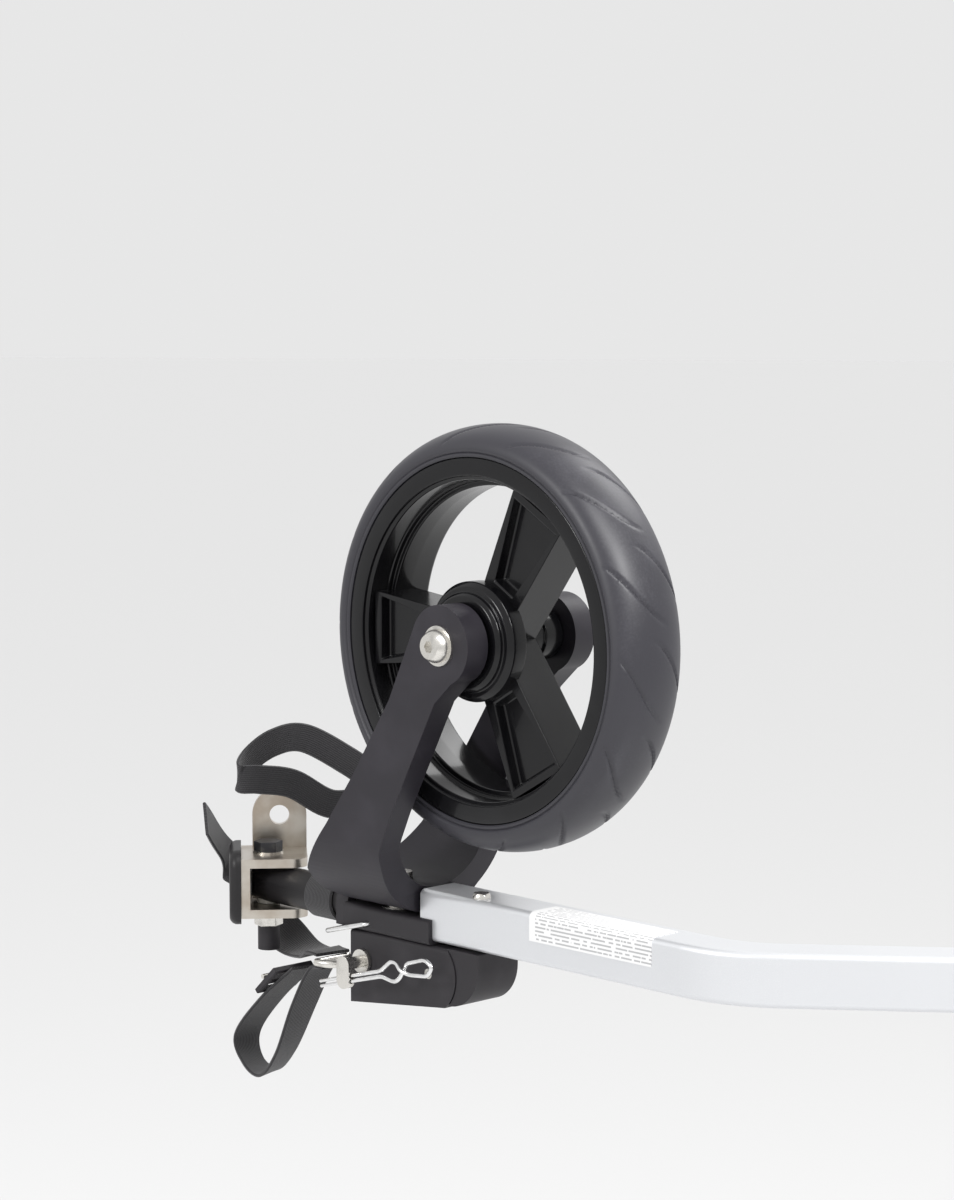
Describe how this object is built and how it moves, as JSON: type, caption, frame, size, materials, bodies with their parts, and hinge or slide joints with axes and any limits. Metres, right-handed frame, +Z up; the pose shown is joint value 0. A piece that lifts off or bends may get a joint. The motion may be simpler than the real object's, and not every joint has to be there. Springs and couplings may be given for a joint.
{
  "type": "child bicycle trailer tow arm",
  "caption": "Square bent tow arm with a bicycle axle hitch at the front and a stroller wheel parked upright in its fork.",
  "frame": {"origin": "centre of the trailer pivot bore, on the tube's centreline at the arm's rear end", "axes": "+X along the rear run of the tube towards the trailer, +Y along the pivot bore away from the near side, +Z up"},
  "size_m": [0.7234, 0.255, 0.3419],
  "materials": {
    "silver_tube": "satin anodised",
    "black_plastic": "fine moulded grain",
    "fork_black": "satin moulded nylon",
    "rim_black": "polished moulding",
    "tyre_rubber": "satin foam rubber",
    "black_rubber": "matt",
    "zinc_steel": "bright zinc plate",
    "spring_steel": "bright wire",
    "black_steel": "black oxide",
    "yoke_steel": "brushed, clear coated",
    "webbing": "woven nylon",
    "label_white": "blank printed film",
    "bearing_plastic": "self-lubricating"
  },
  "bodies": {
    "arm": {"arm_tube": "silver_tube", "end_plug": "black_plastic", "pivot_sleeve": "zinc_steel", "button_spring": "spring_steel", "arm_rivet": "zinc_steel", "info_label": "label_white", "head_shell": "black_plastic", "swivel_stub": "zinc_steel", "socket_housing": "black_plastic", "housing_screws": "black_steel", "stem_sleeve": "bearing_plastic", "lever_pin": "zinc_steel"},
    "fork": {"wheel_fork": "fork_black", "fork_stem": "zinc_steel", "stem_bolt": "zinc_steel", "axle_bolt": "zinc_steel", "axle_washers": "zinc_steel", "axle_nut": "zinc_steel"},
    "wheel": {"tyre": "tyre_rubber", "wheel_rim": "rim_black", "hub_bushes": "bearing_plastic", "hub_dust_caps": "rim_black"},
    "lever": {"release_lever": "black_plastic"},
    "shoe": {"clamp_shoe": "bearing_plastic"},
    "lock_pin": {"lock_pin": "zinc_steel"},
    "clip": {"retaining_clip": "spring_steel"},
    "bail": {"retaining_bail": "spring_steel"},
    "button": {"snap_button": "zinc_steel"},
    "coupling": {"coupling_barrel": "black_rubber", "swivel_retaining_pin": "zinc_steel", "pivot_bush": "bearing_plastic", "strap_anchor": "webbing", "strap_ring": "zinc_steel", "strap_tail": "webbing", "strap_slider": "black_plastic", "slider_bar": "zinc_steel"},
    "hitch": {"hitch_yoke": "yoke_steel", "yoke_pad": "black_rubber", "pad_screws": "black_steel", "pivot_bolt": "black_steel", "pivot_washers": "zinc_steel", "pivot_nut": "zinc_steel", "bolt_end_cap": "black_plastic", "safety_strap": "webbing", "strap_return": "webbing"}
  },
  "joints": [
    {"name": "fork_lift", "type": "slide", "parent": "arm", "child": "fork", "axis": [0, 0, 1], "range_m": [0, 0.055]},
    {"name": "wheel_spin", "type": "hinge", "parent": "fork", "child": "wheel", "pos_m": [-0.53432, 0.09439, 0.138], "axis": [0.6428, 0.766, 0], "continuous": true},
    {"name": "lever_swing", "type": "hinge", "parent": "arm", "child": "lever", "pos_m": [-0.56343, 0.11881, -0.028], "axis": [0.6428, 0.766, 0], "range_deg": [0, 30], "stiffness_Nm_per_rad": 0.3, "springref_deg": -11.46},
    {"name": "shoe_slide", "type": "slide", "parent": "arm", "child": "shoe", "axis": [0.766, -0.6428, 0], "range_m": [0, 0.0008]},
    {"name": "lock_pin_pull", "type": "slide", "parent": "arm", "child": "lock_pin", "axis": [-0.6428, -0.766, 0], "range_m": [0, 0.04]},
    {"name": "clip_pull", "type": "slide", "parent": "lock_pin", "child": "clip", "axis": [0.7382, -0.6194, 0.2672], "range_m": [0, 0.04]},
    {"name": "bail_swing", "type": "hinge", "parent": "arm", "child": "bail", "pos_m": [-0.59561, 0.14581, -0.0095], "axis": [0.6428, 0.766, 0], "range_deg": [-35, 0], "stiffness_Nm_per_rad": 0.02, "springref_deg": 17.19},
    {"name": "button_press", "type": "slide", "parent": "arm", "child": "button", "axis": [0, 0, 1], "range_m": [0, 0.0035], "stiffness_N_per_m": 400, "springref_m": -0.003, "deforming": ["button_spring"]},
    {"name": "coupling_roll", "type": "hinge", "parent": "arm", "child": "coupling", "pos_m": [-0.62625, 0.17152, -0.004], "axis": [0.766, -0.6428, 0], "range_deg": [-15, 15], "stiffness_Nm_per_rad": 2},
    {"name": "hitch_yaw", "type": "hinge", "parent": "coupling", "child": "hitch", "pos_m": [-0.66685, 0.20559, -0.004], "axis": [0, 0, 1], "range_deg": [-69, 20], "deforming": ["safety_strap", "strap_return"]}
  ],
  "couplings": [
    {"joint": "shoe_slide", "follows": "lever_swing", "m_per_rad": 0.0015279}
  ]
}
